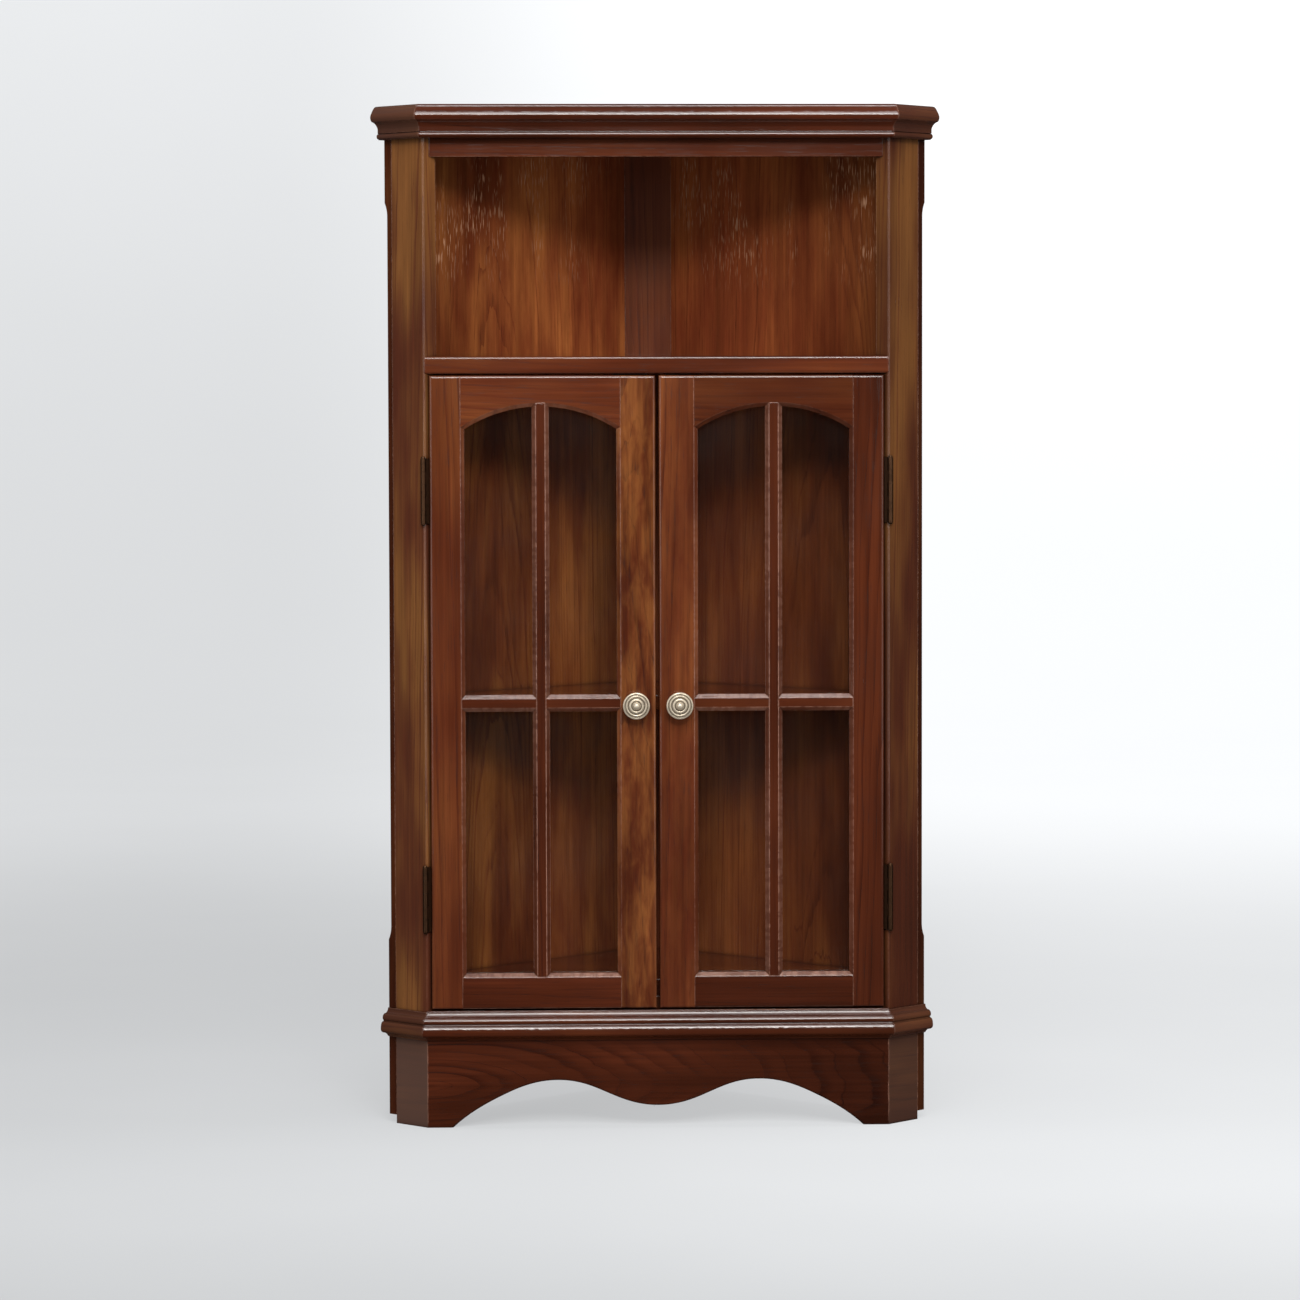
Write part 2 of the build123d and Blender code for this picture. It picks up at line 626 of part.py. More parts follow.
BLOCK_BOTTOM = 8.0
BLOCK_TOP = 96.0
BLOCK_LEG = 30.0
inner_mitre_x = FRONT_HALF - PLINTH_T * (ROOT2 - 1)
with BuildPart() as corner_blocks:
    with BuildSketch(Plane.XY.offset(BLOCK_BOTTOM)):
        block = [
            (inner_mitre_x, PLINTH_T),
            (inner_mitre_x + BLOCK_LEG / ROOT2, PLINTH_T + BLOCK_LEG / ROOT2),
            (inner_mitre_x - BLOCK_LEG, PLINTH_T + BLOCK_LEG / ROOT2),
            (inner_mitre_x - BLOCK_LEG, PLINTH_T),
        ]
        Polygon(*[plan(x, depth) for x, depth in block])
        mirror(about=Plane.YZ)
    extrude(amount=BLOCK_TOP - BLOCK_BOTTOM)
hand_in(corner_blocks.part, "corner_blocks")

# ---------------------------------------------------------------- right-hand door
EDGE_SUM = FRONT_HALF - DOOR_GAP * ROOT2  # x + depth on the bevelled hinge edge
LOCK_EDGE = MEETING_HALF + LOCK_STILE  # side of the panes beside the lock stile
PANE_X = (LOCK_EDGE + HINGE_EDGE) / 2
HALF_CHORD = (HINGE_EDGE - LOCK_EDGE) / 2
ARCH_RADIUS = (HALF_CHORD**2 + ARCH_RISE**2) / (2 * ARCH_RISE)
ARCH_CENTRE_Z = ARCH_CROWN - ARCH_RADIUS
LOCK_FACE = LOCK_EDGE - BEVEL
HINGE_FACE = HINGE_EDGE + BEVEL
HALF_BAR = BAR / 2
HALF_BAR_FACE = HALF_BAR - BEVEL
OUTSIDE = 20.0  # margin of the cutting outlines beyond the door


def arch_z(sideways, grow=0.0):
    """Height of the arched edge, or of its bevel when grown, at an offset from the centre."""
    return ARCH_CENTRE_Z + sqrt((ARCH_RADIUS + grow) ** 2 - sideways**2)


SPRING_Z = arch_z(HALF_CHORD)
SPRING_FACE_Z = arch_z(HALF_CHORD + BEVEL, BEVEL)
BAR_TOP_Z = arch_z(HALF_BAR)
BAR_TOP_FACE_Z = arch_z(HALF_BAR_FACE, BEVEL)
BOTTOM_FACE_Z = PANE_BOTTOM - BEVEL
CROSS_LOW = CROSS_BAR_Z - HALF_BAR
CROSS_HIGH = CROSS_BAR_Z + HALF_BAR
CROSS_FACE_LOW = CROSS_BAR_Z - HALF_BAR_FACE
CROSS_FACE_HIGH = CROSS_BAR_Z + HALF_BAR_FACE


def is_pane_edge(edge):
    """True for the front edges around the panes."""
    middle = edge.center()
    on_front = abs(middle.Y - FRONT_Y) < 0.01
    across = LOCK_EDGE - 1 < middle.X < HINGE_EDGE + 1
    up = PANE_BOTTOM - 1 < middle.Z < ARCH_CROWN + 1
    return on_front and across and up


with BuildPart() as door_blank:
    with BuildSketch(FRONT_PLANE):
        Polygon(
            (MEETING_HALF, DOOR_BOTTOM),
            (EDGE_SUM, DOOR_BOTTOM),
            (EDGE_SUM, DOOR_TOP),
            (MEETING_HALF, DOOR_TOP),
        )
    extrude(amount=-DOOR_T)
    bevelled_edge = Plane(origin=(*plan(EDGE_SUM, 0), 0), z_dir=TOWARDS_POST)
    split(bisect_by=bevelled_edge, keep=Keep.BOTTOM)
    fillet(door_blank.faces().sort_by(Axis.Y)[0].edges(), DOOR_ROUND)
    with BuildSketch(FRONT_PLANE):
        with BuildLine():
            Polyline(
                (LOCK_EDGE, SPRING_Z),
                (LOCK_EDGE, PANE_BOTTOM),
                (HINGE_EDGE, PANE_BOTTOM),
                (HINGE_EDGE, SPRING_Z),
            )
            ThreePointArc((HINGE_EDGE, SPRING_Z), (PANE_X, ARCH_CROWN), (LOCK_EDGE, SPRING_Z))
        make_face()
        with Locations((PANE_X, CROSS_BAR_Z)):
            Rectangle(BAR, 2 * DOOR_TOP, mode=Mode.SUBTRACT)
            Rectangle(4 * HALF_CHORD, BAR, mode=Mode.SUBTRACT)
    extrude(amount=-DOOR_T, mode=Mode.SUBTRACT)
    chamfer(door_blank.edges().filter_by(is_pane_edge), BEVEL)
    with BuildSketch(FRONT_PLANE.offset(-BAR_DEPTH)):
        Polygon(
            (LOCK_EDGE - RABBET, PANE_BOTTOM - RABBET),
            (HINGE_EDGE + RABBET, PANE_BOTTOM - RABBET),
            (HINGE_EDGE + RABBET, ARCH_CROWN + RABBET),
            (LOCK_EDGE - RABBET, ARCH_CROWN + RABBET),
        )
    extrude(amount=-(DOOR_T - BAR_DEPTH), mode=Mode.SUBTRACT)


def stile_outline(edge, face, outside):
    """Cutting outline of a stile, notched where the rails and the cross bar are mitred in."""
    return [
        (outside, DOOR_BOTTOM - OUTSIDE),
        (outside, DOOR_TOP + OUTSIDE),
        (face, DOOR_TOP + OUTSIDE),
        (face, SPRING_FACE_Z),
        (edge, SPRING_Z),
        (edge, CROSS_HIGH),
        (face, CROSS_FACE_HIGH),
        (face, CROSS_FACE_LOW),
        (edge, CROSS_LOW),
        (edge, PANE_BOTTOM),
        (face, BOTTOM_FACE_Z),
        (face, DOOR_BOTTOM - OUTSIDE),
    ]


def cross_bar_outline(edge, face, side):
    """Cutting outline of the short cross bar between the upright bar and one stile."""
    bar_edge = PANE_X + side * HALF_BAR
    bar_face = PANE_X + side * HALF_BAR_FACE
    return [
        (face, CROSS_FACE_LOW),
        (edge, CROSS_LOW),
        (bar_edge, CROSS_LOW),
        (bar_face, CROSS_FACE_LOW),
        (bar_face, CROSS_FACE_HIGH),
        (bar_edge, CROSS_HIGH),
        (edge, CROSS_HIGH),
        (face, CROSS_FACE_HIGH),
    ]


UPRIGHT_RIGHT_SIDE = [
    (HALF_BAR_FACE, BOTTOM_FACE_Z),
    (HALF_BAR, PANE_BOTTOM),
    (HALF_BAR, CROSS_LOW),
    (HALF_BAR_FACE, CROSS_FACE_LOW),
    (HALF_BAR_FACE, CROSS_FACE_HIGH),
    (HALF_BAR, CROSS_HIGH),
    (HALF_BAR, BAR_TOP_Z),
    (HALF_BAR_FACE, BAR_TOP_FACE_Z),
]
upright_outline = [(PANE_X + dx, z) for dx, z in UPRIGHT_RIGHT_SIDE]
upright_outline += [(PANE_X - dx, z) for dx, z in reversed(UPRIGHT_RIGHT_SIDE)]

top_rail_outline = [
    (LOCK_FACE, DOOR_TOP + OUTSIDE),
    (LOCK_FACE, SPRING_FACE_Z),
    (LOCK_EDGE, SPRING_Z),
    (PANE_X - HALF_BAR, BAR_TOP_Z),
    (PANE_X - HALF_BAR_FACE, BAR_TOP_FACE_Z),
    (PANE_X + HALF_BAR_FACE, BAR_TOP_FACE_Z),
    (PANE_X + HALF_BAR, BAR_TOP_Z),
    (HINGE_EDGE, SPRING_Z),
    (HINGE_FACE, SPRING_FACE_Z),
    (HINGE_FACE, DOOR_TOP + OUTSIDE),
]
bottom_rail_outline = [
    (LOCK_FACE, DOOR_BOTTOM - OUTSIDE),
    (LOCK_FACE, BOTTOM_FACE_Z),
    (LOCK_EDGE, PANE_BOTTOM),
    (PANE_X - HALF_BAR, PANE_BOTTOM),
    (PANE_X - HALF_BAR_FACE, BOTTOM_FACE_Z),
    (PANE_X + HALF_BAR_FACE, BOTTOM_FACE_Z),
    (PANE_X + HALF_BAR, PANE_BOTTOM),
    (HINGE_EDGE, PANE_BOTTOM),
    (HINGE_FACE, BOTTOM_FACE_Z),
    (HINGE_FACE, DOOR_BOTTOM - OUTSIDE),
]


def door_member(outline, cutters=()):
    """One piece of the door frame, cut from the blank along the joint lines."""
    with BuildPart() as member:
        with BuildSketch(FRONT_PLANE.offset(OUTSIDE)):
            Polygon(*outline)
        extrude(amount=-(DOOR_T + 2 * OUTSIDE))
        add(door_blank.part, mode=Mode.INTERSECT)
        for cutter in cutters:
            add(cutter, mode=Mode.SUBTRACT)
    return member.part


# Knob and the screw that holds it from the back of the lock stile.
KNOB_SCREW_RADIUS = 2.0
KNOB_SCREW_IN = 12.0
SCREW_HEAD_RADIUS = 4.2
SCREW_HEAD_T = 2.4
SCREW_HEAD_ROUND = 1.0
KNOB_AT = Plane(origin=(KNOB_X, FRONT_Y, KNOB_Z), x_dir=(1, 0, 0), z_dir=(0, 0, -1))
KNOB_AXIS = Axis((KNOB_X, FRONT_Y, KNOB_Z), (0, -1, 0))

with BuildPart() as knob_screw:
    with BuildSketch(FRONT_PLANE.offset(KNOB_SCREW_IN)):
        with Locations((KNOB_X, KNOB_Z)):
            Circle(KNOB_SCREW_RADIUS)
    extrude(amount=-(DOOR_T + KNOB_SCREW_IN))
    with BuildSketch(FRONT_PLANE.offset(-DOOR_T)):
        with Locations((KNOB_X, KNOB_Z)):
            Circle(SCREW_HEAD_RADIUS)
    extrude(amount=-SCREW_HEAD_T)
    fillet(knob_screw.faces().sort_by(Axis.Y)[-1].edges(), SCREW_HEAD_ROUND)

with BuildPart() as knob:
    rim = KNOB_RADIUS
    with BuildSketch(KNOB_AT):
        with BuildLine():
            # flange, waist and the back of the head
            Polyline((0, 0), (8.6, 0), (8.6, 1.6), (7.6, 2.4))
            Spline(
                (7.6, 2.4),
                (5.6, 6.4),
                (rim - 3.6, 12.4),
                (rim - 0.8, 14.2),
                tangents=[(-0.6, 1), (1, 0.45)],
            )
            # rolled rim, then two raised rings with grooves round them, then the dome in the middle
            ThreePointArc((rim - 0.8, 14.2), (rim, 15.8), (rim - 1.7, 17.2))
            ThreePointArc((rim - 1.7, 17.2), (rim - 2.5, 16.2), (rim - 3.3, 17.3))
            ThreePointArc((rim - 3.3, 17.3), (rim - 4.4, 18.2), (rim - 5.5, 17.7))
            ThreePointArc((rim - 5.5, 17.7), (rim - 6.2, 16.8), (rim - 6.9, 17.9))
            ThreePointArc((rim - 6.9, 17.9), (rim - 8.3, 19.3), (rim - 9.7, 19.0))
            ThreePointArc((rim - 9.7, 19.0), (rim - 10.3, 18.3), (rim - 10.8, 19.4))
            Spline(
                (rim - 10.8, 19.4),
                (rim - 12.6, 22.9),
                (0, KNOB_REACH),
                tangents=[(-0.3, 1), (-1, 0)],
            )
            Line((0, KNOB_REACH), (0, 0))
        make_face()
    revolve(axis=KNOB_AXIS)
    add(knob_screw.part, mode=Mode.SUBTRACT)

# Glass and the beads that hold it in the rabbet from behind.
GLASS_PLAY = 0.5
BEAD_JOINT = 0.2
rabbet_low = PANE_BOTTOM - RABBET
rabbet_high = ARCH_CROWN + RABBET
rabbet_near = LOCK_EDGE - RABBET
rabbet_far = HINGE_EDGE + RABBET
RABBET_MIDDLE = ((rabbet_near + rabbet_far) / 2, (rabbet_low + rabbet_high) / 2)

with BuildPart() as glass:
    with BuildSketch(FRONT_PLANE.offset(-BAR_DEPTH)):
        with Locations(RABBET_MIDDLE):
            Rectangle(
                rabbet_far - rabbet_near - 2 * GLASS_PLAY,
                rabbet_high - rabbet_low - 2 * GLASS_PLAY,
            )
    extrude(amount=-GLASS_T)

with BuildPart() as glass_beads:
    with BuildSketch(FRONT_PLANE.offset(-(BAR_DEPTH + GLASS_T))):
        for x in (rabbet_near + RABBET / 2, rabbet_far - RABBET / 2):
            with Locations((x, RABBET_MIDDLE[1])):
                Rectangle(RABBET, rabbet_high - rabbet_low)
        for z in (rabbet_low + RABBET / 2, rabbet_high - RABBET / 2):
            with Locations((RABBET_MIDDLE[0], z)):
                Rectangle(rabbet_far - rabbet_near - 2 * (RABBET + BEAD_JOINT), RABBET)
    extrude(amount=-(DOOR_T - BAR_DEPTH - GLASS_T))

hinge_cutters = (leaf_recesses(True), door_screws)
hinge_stile = door_member(stile_outline(HINGE_EDGE, HINGE_FACE, EDGE_SUM + OUTSIDE), hinge_cutters)
lock_stile = door_member(stile_outline(LOCK_EDGE, LOCK_FACE, -OUTSIDE), (knob_screw.part,))

right_door = {
    "hinge_stile": hinge_stile,
    "lock_stile": lock_stile,
    "top_rail": door_member(top_rail_outline),
    "bottom_rail": door_member(bottom_rail_outline),
    "upright_bar": door_member(upright_outline),
    "outer_cross_bar": door_member(cross_bar_outline(HINGE_EDGE, HINGE_FACE, 1)),
    "inner_cross_bar": door_member(cross_bar_outline(LOCK_EDGE, LOCK_FACE, -1)),
    "glass": glass.part,
    "glass_beads": glass_beads.part,
    "knob": knob.part,
    "knob_screw": knob_screw.part,
    "catch_plate": catch_plate.part,
}
for piece_name, piece in right_door.items():
    hand_in(piece, f"right_{piece_name}")
    hand_in(mirrored(piece), f"left_{piece_name}")
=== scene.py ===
"""Looks of the corner china cabinet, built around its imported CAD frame.

Metres, in the frame of the CAD: X along the front, Y back into the room corner, Z up.
"""

import math

import bpy
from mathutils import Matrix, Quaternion, Vector


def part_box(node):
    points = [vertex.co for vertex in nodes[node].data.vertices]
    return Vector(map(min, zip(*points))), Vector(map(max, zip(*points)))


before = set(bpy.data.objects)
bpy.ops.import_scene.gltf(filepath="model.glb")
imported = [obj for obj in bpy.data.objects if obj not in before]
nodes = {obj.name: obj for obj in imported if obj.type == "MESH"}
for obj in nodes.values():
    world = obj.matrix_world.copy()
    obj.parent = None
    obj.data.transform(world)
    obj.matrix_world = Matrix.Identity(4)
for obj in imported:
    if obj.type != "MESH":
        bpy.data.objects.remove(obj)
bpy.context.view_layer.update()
ROOT2 = math.sqrt(2)

# ---------------------------------------------------------------- places taken from the frame
FRONT_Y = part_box("left_lock_stile")[0].y
BEHIND_RETURNS = (FRONT_Y + 0.048, FRONT_Y + 0.053)  # where a wall panel passes the canted return
BEHIND_POSTS = (FRONT_Y + 0.052, FRONT_Y + 0.060)  # where the niche and the cupboard begin
TOWARDS_CORNER = (FRONT_Y + 0.08, FRONT_Y + 0.26)  # along a wall panel, over which painted fill light grows towards the room corner
TOWARDS_RIGHT = (0.02, 0.26)  # X, along a piece of the front
UPPER_NICHE = (0.98, 1.05)  # Z

# ---------------------------------------------------------------- node tree helpers


class Tree:
    """Short calls for building a node tree."""

    def __init__(self, tree):
        self.tree = tree

    def node(self, kind, inputs=None, **settings):
        made = self.tree.nodes.new(kind)
        for key, value in settings.items():
            setattr(made, key, value)
        for key, value in (inputs or {}).items():
            self.put(made.inputs[key], value)
        return made

    def put(self, socket, value):
        if isinstance(value, bpy.types.NodeSocket):
            self.tree.links.new(value, socket)
        else:
            socket.default_value = value

    def math(self, operation, *values, clamp=False):
        made = self.node("ShaderNodeMath", operation=operation, use_clamp=clamp)
        for socket, value in zip(made.inputs, values):
            self.put(socket, value)
        return made.outputs[0]

    def dot(self, a, b):
        made = self.node("ShaderNodeVectorMath", operation="DOT_PRODUCT")
        self.put(made.inputs[0], a)
        self.put(made.inputs[1], b)
        return made.outputs["Value"]

    def join(self, x, y, z):
        return self.node("ShaderNodeCombineXYZ", {0: x, 1: y, 2: z}).outputs[0]

    def split(self, vector):
        return self.node("ShaderNodeSeparateXYZ", {0: vector}).outputs

    def stretch(self, value, low, high, to_low=0.0, to_high=1.0, smooth=True):
        made = self.node(
            "ShaderNodeMapRange",
            {1: low, 2: high, 3: to_low, 4: to_high},
            interpolation_type="SMOOTHSTEP" if smooth else "LINEAR",
        )
        self.put(made.inputs[0], value)
        return made.outputs[0]

    def noise(self, vector, scale=1.0, detail=2.0, roughness=0.5, channel="Fac"):
        made = self.node(
            "ShaderNodeTexNoise",
            {"Vector": vector, "Scale": scale, "Detail": detail, "Roughness": roughness},
            noise_dimensions="3D",
        )
        return made.outputs[channel]

    def mix(self, amount, a, b, blend="MIX"):
        made = self.node("ShaderNodeMix", data_type="RGBA", blend_type=blend)
        self.put(made.inputs[0], amount)
        self.put(made.inputs[6], a)
        self.put(made.inputs[7], b)
        return made.outputs[2]


def socket(group, name, kind, is_input=True, default=None):
    made = group.interface.new_socket(
        name=name, in_out="INPUT" if is_input else "OUTPUT", socket_type=kind
    )
    if default is not None:
        made.default_value = default
    return made


def rgb(red, green, blue):
    return (red, green, blue, 1.0)


# ---------------------------------------------------------------- stained wood
# The wood is a log in three dimensions: growth rings round a pith line that lies behind each
# board and tapers along it, so that flat-sawn boards show arched figure and edges show stripes.
LATE = rgb(0.128, 0.0265, 0.0092)
EARLY = rgb(0.056, 0.0100, 0.0038)
GOLD = rgb(0.215, 0.0800, 0.0195)
PORE = rgb(0.020, 0.0055, 0.0024)
# pale colour of edges and bevels: painted highlight, with lacquer worn thin
WEAR_AND_HIGHLIGHT = rgb(0.420, 0.215, 0.150)
# grey veil over the canted faces: painted reflection of sheen
PAINTED_SHEEN_VEIL = rgb(0.092, 0.056, 0.043)
# pale dashes in the pores high in the niche: painted glints
PAINTED_GLINT = rgb(0.44, 0.235, 0.135)

OUTWARDS = (0, -1, 0)  # out of the front of the cabinet
EDGE_RADIUS = 0.0016  # softened wooden edges
CORNER_SHADE_REACH = 0.007  # how far painted shade, with gathered stain, reaches from an inner corner
RING_RIPPLE = 0.010
GRAIN_RELIEF = 0.00006
LACQUER_IOR = 1.58


def wood_group():
    group = bpy.data.node_groups.new("stained_wood", "ShaderNodeTree")
    for name, default in (
        ("Across", (1, 0, 0)),
        ("Normal", (0, 1, 0)),
        ("Along", (0, 0, 1)),
        ("Offset", (0, 0, 0)),
    ):
        socket(group, name, "NodeSocketVector", default=default)
    for name, default in (
        ("Ring Width", 0.0042),
        ("Pith Depth", 0.05),
        ("Taper", 0.035),
        ("Wander", 0.014),
        ("Contrast", 0.30),
        ("Gold", 0.3),
        ("Tone", 1.0),
        ("Glint", 0.0),
        ("Curl", 0.0),
        ("Grey", 0.0),
        ("Bevel Rub", 0.0),
        ("Edge Rub", 1.0),
        ("Front Tone", 1.0),
        ("Right Tone", 1.0),
        ("Deep Tone", 1.0),
        ("Relief", 1.0),
    ):
        socket(group, name, "NodeSocketFloat", default=default)
    for name, kind in (
        ("Color", "NodeSocketColor"),
        ("Roughness", "NodeSocketFloat"),
        ("Normal", "NodeSocketVector"),
    ):
        socket(group, name, kind, is_input=False)
    t = Tree(group)
    given = t.node("NodeGroupInput").outputs
    place = t.node("ShaderNodeTexCoord").outputs["Object"]
    off = t.split(given["Offset"])
    u = t.math("ADD", t.dot(place, given["Across"]), off[0])
    n = t.math("ADD", t.dot(place, given["Normal"]), off[1])
    along = t.math("ADD", t.dot(place, given["Along"]), off[2])

    def scaled(across, length):
        return t.join(
            t.math("MULTIPLY", u, across),
            t.math("MULTIPLY", n, across),
            t.math("MULTIPLY", along, length),
        )

    # growth rings
    drift = t.split(t.noise(scaled(7.0, 1.7), detail=2.0, channel="Color"))
    swing = t.math("MULTIPLY", t.math("SUBTRACT", drift[0], 0.5), given["Wander"])
    bulge = t.math("MULTIPLY", t.math("SUBTRACT", drift[1], 0.5), given["Wander"])
    sideways = t.math("ADD", u, swing)
    deep = t.math("ADD", t.math("ADD", n, given["Pith Depth"]), bulge)
    deep = t.math("ADD", deep, t.math("MULTIPLY", along, given["Taper"]))
    radius = t.math(
        "SQRT",
        t.math("ADD", t.math("MULTIPLY", sideways, sideways), t.math("MULTIPLY", deep, deep)),
    )
    ripple = t.noise(scaled(42.0, 4.0), detail=3.0)
    radius = t.math("ADD", radius, t.math("MULTIPLY", t.math("SUBTRACT", ripple, 0.5), RING_RIPPLE))
    ring = t.math("DIVIDE", radius, given["Ring Width"])
    phase = t.math("FRACT", ring)
    year = t.node("ShaderNodeTexWhiteNoise", {"W": t.math("FLOOR", ring)}, noise_dimensions="1D")
    opening = t.stretch(phase, 0.0, 0.62, 1.0, 0.0)
    closing = t.stretch(phase, 0.88, 1.0, 0.0, 1.0)
    early = t.math("MAXIMUM", opening, closing)
    year_share = t.stretch(year.outputs["Value"], 0.15, 1.0, 0.0, 1.15)
    early = t.math("MULTIPLY", early, year_share)

    # fibres, and pores that open in the early wood
    fibre = t.noise(scaled(430.0, 7.0), detail=3.0, roughness=0.6)
    pore_noise = t.noise(scaled(1150.0, 42.0), detail=1.5, roughness=0.6)
    pore_level = t.math("ADD", pore_noise, t.math("MULTIPLY", early, 0.12))
    pores = t.stretch(pore_level, 0.62, 0.74)
    broad = t.noise(scaled(9.0, 2.2), detail=3.0, roughness=0.55)
    cloud = t.noise(scaled(26.0, 4.0), detail=2.0)

    strength = t.math("MULTIPLY", early, given["Contrast"])
    strength = t.math("MULTIPLY", strength, t.stretch(cloud, 0.32, 0.68, 0.10, 1.25))
    colour = t.mix(strength, LATE, EARLY)
    gold_level = t.math("ADD", broad, t.math("MULTIPLY", t.math("SUBTRACT", cloud, 0.5), 0.5))
    gold_share = t.math("MULTIPLY", t.stretch(gold_level, 0.40, 0.70), given["Gold"])
    gold_share = t.math(
        "MULTIPLY", gold_share, t.math("SUBTRACT", 1.0, t.math("MULTIPLY", early, 0.7))
    )
    colour = t.mix(gold_share, colour, GOLD)
    streak = t.noise(scaled(190.0, 3.5), detail=3.0, roughness=0.6)
    shade = t.stretch(fibre, 0.25, 0.75, 0.92, 1.08, smooth=False)
    shade = t.math("MULTIPLY", shade, t.stretch(streak, 0.3, 0.7, 0.86, 1.13))
    shade = t.math("MULTIPLY", shade, t.stretch(cloud, 0.3, 0.7, 0.80, 1.20))
    shade = t.math("MULTIPLY", shade, t.stretch(broad, 0.3, 0.7, 0.74, 1.22))
    shade = t.math("MULTIPLY", shade, given["Tone"])
    spot = t.split(place)
    front = t.stretch(spot[1], *BEHIND_RETURNS, given["Front Tone"], 1.0)
    shade = t.math("MULTIPLY", shade, front)
    right = t.stretch(spot[0], *TOWARDS_RIGHT, 1.0, given["Right Tone"])
    shade = t.math("MULTIPLY", shade, right)
    # painted fill light: a wall panel grows lighter towards the room corner, against the shade there
    fill_light_share = t.stretch(spot[1], *TOWARDS_CORNER, 1.0, given["Deep Tone"])
    shade = t.math("MULTIPLY", shade, fill_light_share)

    # curly figure: warped flames along the grain, painted golden as a highlight where they catch the
    # light
    warp = t.noise(scaled(30.0, 12.0), detail=2.0, channel="Color")
    warped = t.node("ShaderNodeVectorMath", {0: scaled(70.0, 15.0), 1: warp}, operation="ADD")
    curl = t.stretch(t.noise(warped.outputs[0], scale=1.35, detail=3.0, roughness=0.55), 0.30, 0.68)
    curl_shade = t.math("ADD", t.math("MULTIPLY", t.math("SUBTRACT", curl, 0.6), 0.45), 1.0)
    shade = t.math(
        "MULTIPLY",
        shade,
        t.math("ADD", t.math("MULTIPLY", t.math("SUBTRACT", curl_shade, 1.0), given["Curl"]), 1.0),
    )
    curl_gold = t.math("MULTIPLY", t.math("MULTIPLY", curl, given["Curl"]), 0.55)
    colour = t.mix(curl_gold, colour, GOLD)
    colour = t.mix(1.0, colour, t.join(shade, shade, shade), blend="MULTIPLY")
    colour = t.mix(t.math("MULTIPLY", pores, 0.35), colour, PORE)
    # painted reflection: a grey veil of sheen mixed over the colour
    colour = t.mix(given["Grey"], colour, PAINTED_SHEEN_VEIL)

    # painted glints: high up in the niche, pale dashes in the pores stand for lacquer that catches
    # the light
    dash_noise = t.noise(scaled(680.0, 52.0), detail=1.0)
    dashes = t.stretch(t.math("ADD", dash_noise, t.math("MULTIPLY", early, 0.06)), 0.58, 0.70)
    patches = t.stretch(t.noise(scaled(17.0, 8.0), detail=2.0), 0.44, 0.60)
    high_up = t.stretch(spot[2], *UPPER_NICHE)
    facing = t.node("ShaderNodeTexCoord").outputs["Normal"]
    behind_posts = t.stretch(spot[1], *BEHIND_POSTS)
    indoors = t.math("MULTIPLY", t.stretch(t.dot(facing, OUTWARDS), 0.1, 0.3), behind_posts)
    glint = t.math("MULTIPLY", t.math("MULTIPLY", dashes, patches), high_up)
    glint = t.math("MULTIPLY", glint, indoors)
    colour = t.mix(t.math("MULTIPLY", glint, given["Glint"]), colour, PAINTED_GLINT)

    # painted shade, with stain, in inner corners; painted highlight, with worn lacquer, on edges and
    # bevels
    soft = t.node("ShaderNodeBevel", {"Radius": EDGE_RADIUS}, samples=4).outputs[0]
    flat = t.node("ShaderNodeNewGeometry").outputs["Normal"]
    sky = t.node("ShaderNodeAmbientOcclusion", {"Distance": CORNER_SHADE_REACH}, samples=4)
    open_sky = sky.outputs["AO"]
    # painted shade: inner corners darkened, with some stain gathered there
    corner = t.stretch(open_sky, 0.25, 0.92, 0.38, 1.0)
    colour = t.mix(1.0, colour, t.join(corner, corner, corner), blend="MULTIPLY")
    # pale outer edges: painted highlight lines, partly lacquer worn thin
    turned = t.math("SUBTRACT", 1.0, t.dot(soft, flat))
    rub = t.math("MULTIPLY", t.stretch(turned, 0.006, 0.10), t.stretch(open_sky, 0.80, 0.97))
    broken = t.noise(scaled(60.0, 140.0), detail=3.0, roughness=0.7)
    rub = t.math("MULTIPLY", rub, t.stretch(broken, 0.36, 0.62, 0.12, 0.75))
    rub = t.math("MULTIPLY", rub, t.stretch(cloud, 0.36, 0.62, 0.45, 1.0))
    rub = t.math("MULTIPLY", rub, given["Edge Rub"])
    # pale outward-facing bevel faces: painted highlight, partly lacquer worn thin
    tilt = t.math("ABSOLUTE", t.dot(facing, given["Across"]))
    bevel = t.math("MULTIPLY", t.stretch(tilt, 0.5, 0.66), t.stretch(tilt, 0.76, 0.9, 1.0, 0.0))
    bevel = t.math("MULTIPLY", bevel, t.stretch(t.dot(facing, OUTWARDS), 0.5, 0.66))
    bevel = t.math("MULTIPLY", bevel, t.stretch(broad, 0.42, 0.6, 0.1, 1.0))
    bevel = t.math("MULTIPLY", bevel, t.stretch(broken, 0.38, 0.60, 0.5, 1.0))
    bevel = t.math("MULTIPLY", bevel, given["Bevel Rub"])
    rub = t.math("MAXIMUM", rub, bevel)
    colour = t.mix(rub, colour, WEAR_AND_HIGHLIGHT)

    # lacquer: smoother on the late wood, dull in the pores and where hands and cloths pass
    smear = t.noise(scaled(14.0, 9.0), detail=4.0, roughness=0.6)
    rough = t.stretch(smear, 0.3, 0.75, 0.11, 0.19, smooth=False)
    rough = t.math("ADD", rough, t.math("MULTIPLY", pores, 0.10))
    rough = t.math("ADD", rough, t.math("MULTIPLY", rub, 0.06))

